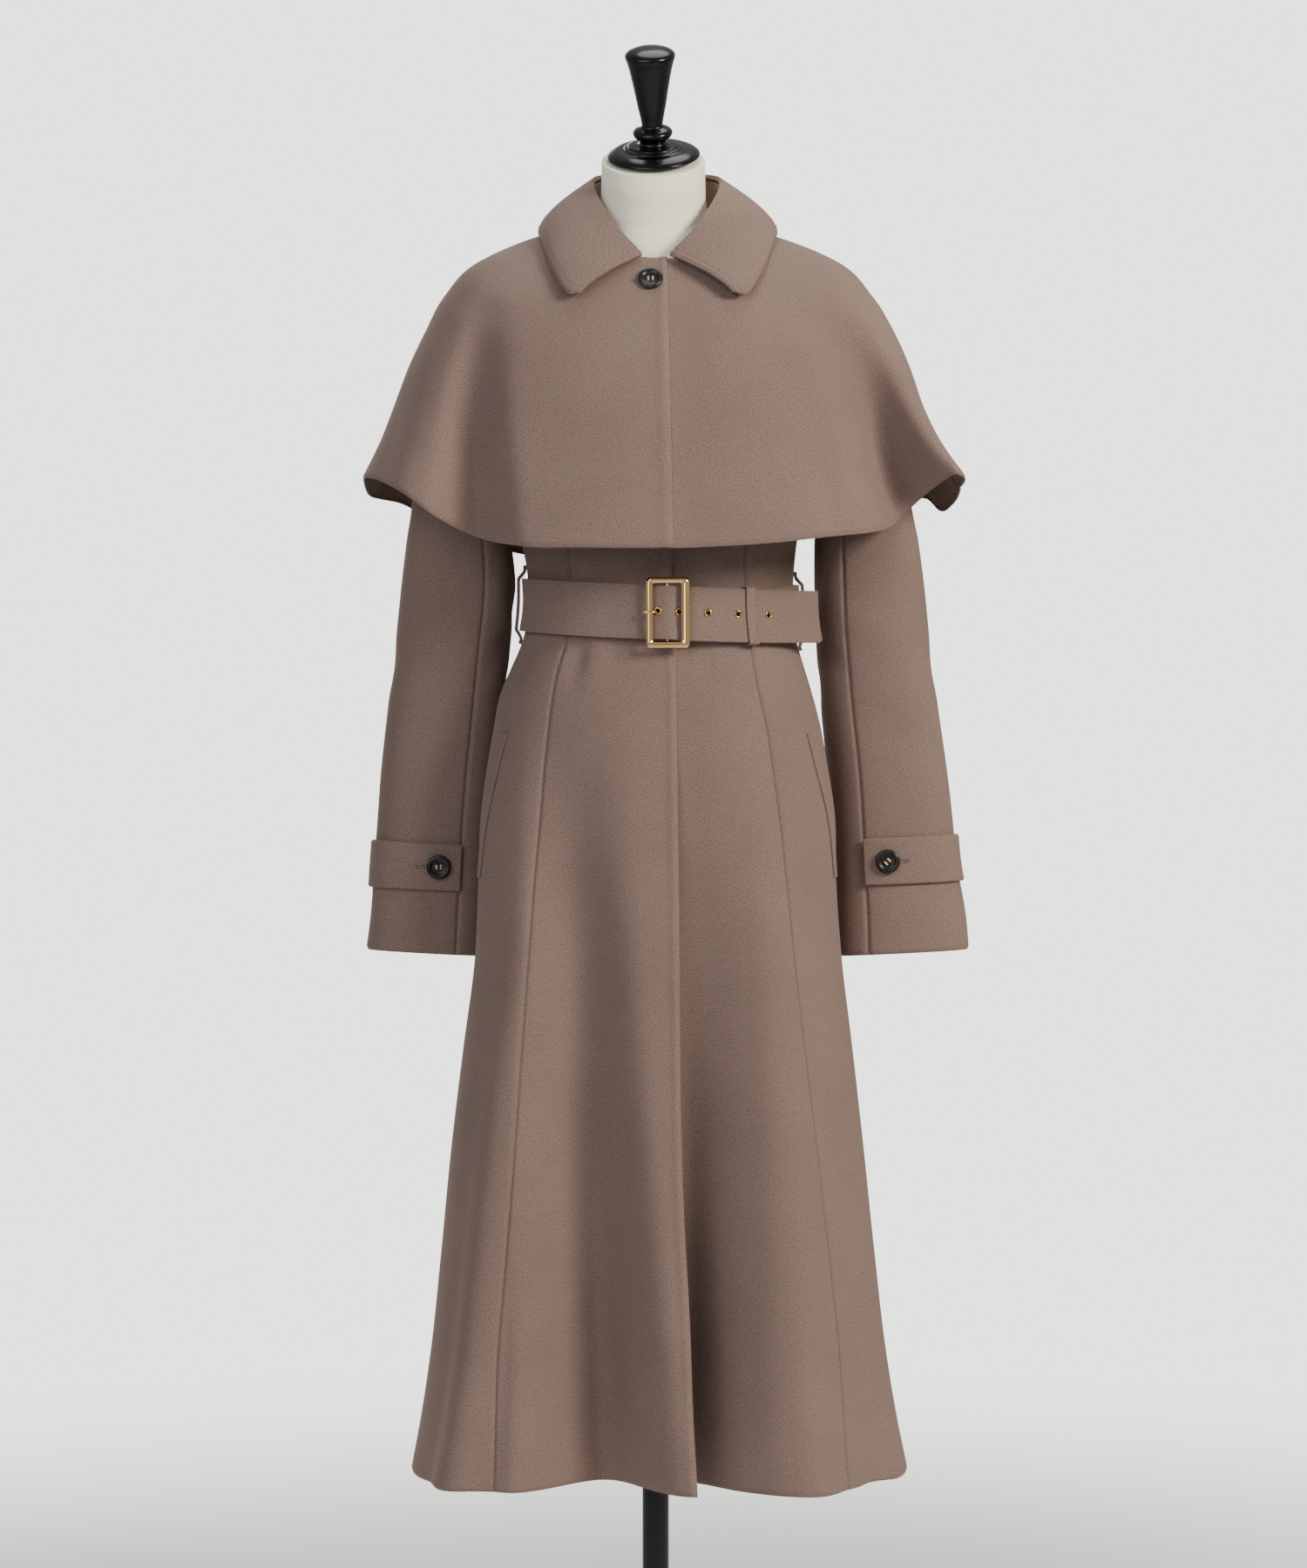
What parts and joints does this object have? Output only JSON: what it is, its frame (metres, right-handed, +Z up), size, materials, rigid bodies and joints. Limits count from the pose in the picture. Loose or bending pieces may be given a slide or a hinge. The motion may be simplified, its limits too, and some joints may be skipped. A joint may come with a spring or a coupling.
{
  "type": "belted wool cape coat on a limbless dress form",
  "caption": "Long belted wool coat with a shoulder cape, flat collar and buttoned cuff straps, displayed on a limbless dress form with a pole and round base.",
  "frame": {"origin": "middle of the base's underside, on the floor, on the pole's axis", "axes": "+Z up along the pole, front of the coat towards -Y, wearer's left towards +X"},
  "size_m": [0.5758, 0.3639, 1.5771],
  "materials": {
    "wool_cloth": "felted wool melton, taupe brown, short nap, matt with a faint sheen",
    "linen": "cream plain-woven linen stretched over the form",
    "black_lacquer": "turned wood and steel tube in black gloss lacquer",
    "gold_metal": "polished light gold plate",
    "horn": "dark polished horn"
  },
  "bodies": {
    "root": {"base": "black_lacquer", "belt": "wool_cloth", "belt_keeper": "wool_cloth", "belt_loop_left": "wool_cloth", "belt_loop_right": "wool_cloth", "buckle_centre_bar": "gold_metal", "buckle_frame": "gold_metal", "buckle_prong": "gold_metal", "button_collar": "horn", "button_cuff_left": "horn", "button_cuff_right": "horn", "cape_back": "wool_cloth", "cape_front_left": "wool_cloth", "cape_front_right": "wool_cloth", "centre_back_left": "wool_cloth", "centre_back_right": "wool_cloth", "centre_front_left": "wool_cloth", "centre_front_right": "wool_cloth", "collar_leaf": "wool_cloth", "collar_stand": "wool_cloth", "cuff_strap_left": "wool_cloth", "cuff_strap_right": "wool_cloth", "eyelet_1": "gold_metal", "eyelet_2": "gold_metal", "eyelet_3": "gold_metal", "eyelet_4": "gold_metal", "eyelet_5": "gold_metal", "form_torso": "linen", "neck_cap": "black_lacquer", "pocket_welt_left": "wool_cloth", "pocket_welt_right": "wool_cloth", "pole": "black_lacquer", "side_back_left": "wool_cloth", "side_back_right": "wool_cloth", "side_front_left": "wool_cloth", "side_front_right": "wool_cloth", "top_sleeve_left": "wool_cloth", "top_sleeve_right": "wool_cloth", "under_sleeve_left": "wool_cloth", "under_sleeve_right": "wool_cloth"}
  },
  "joints": []
}
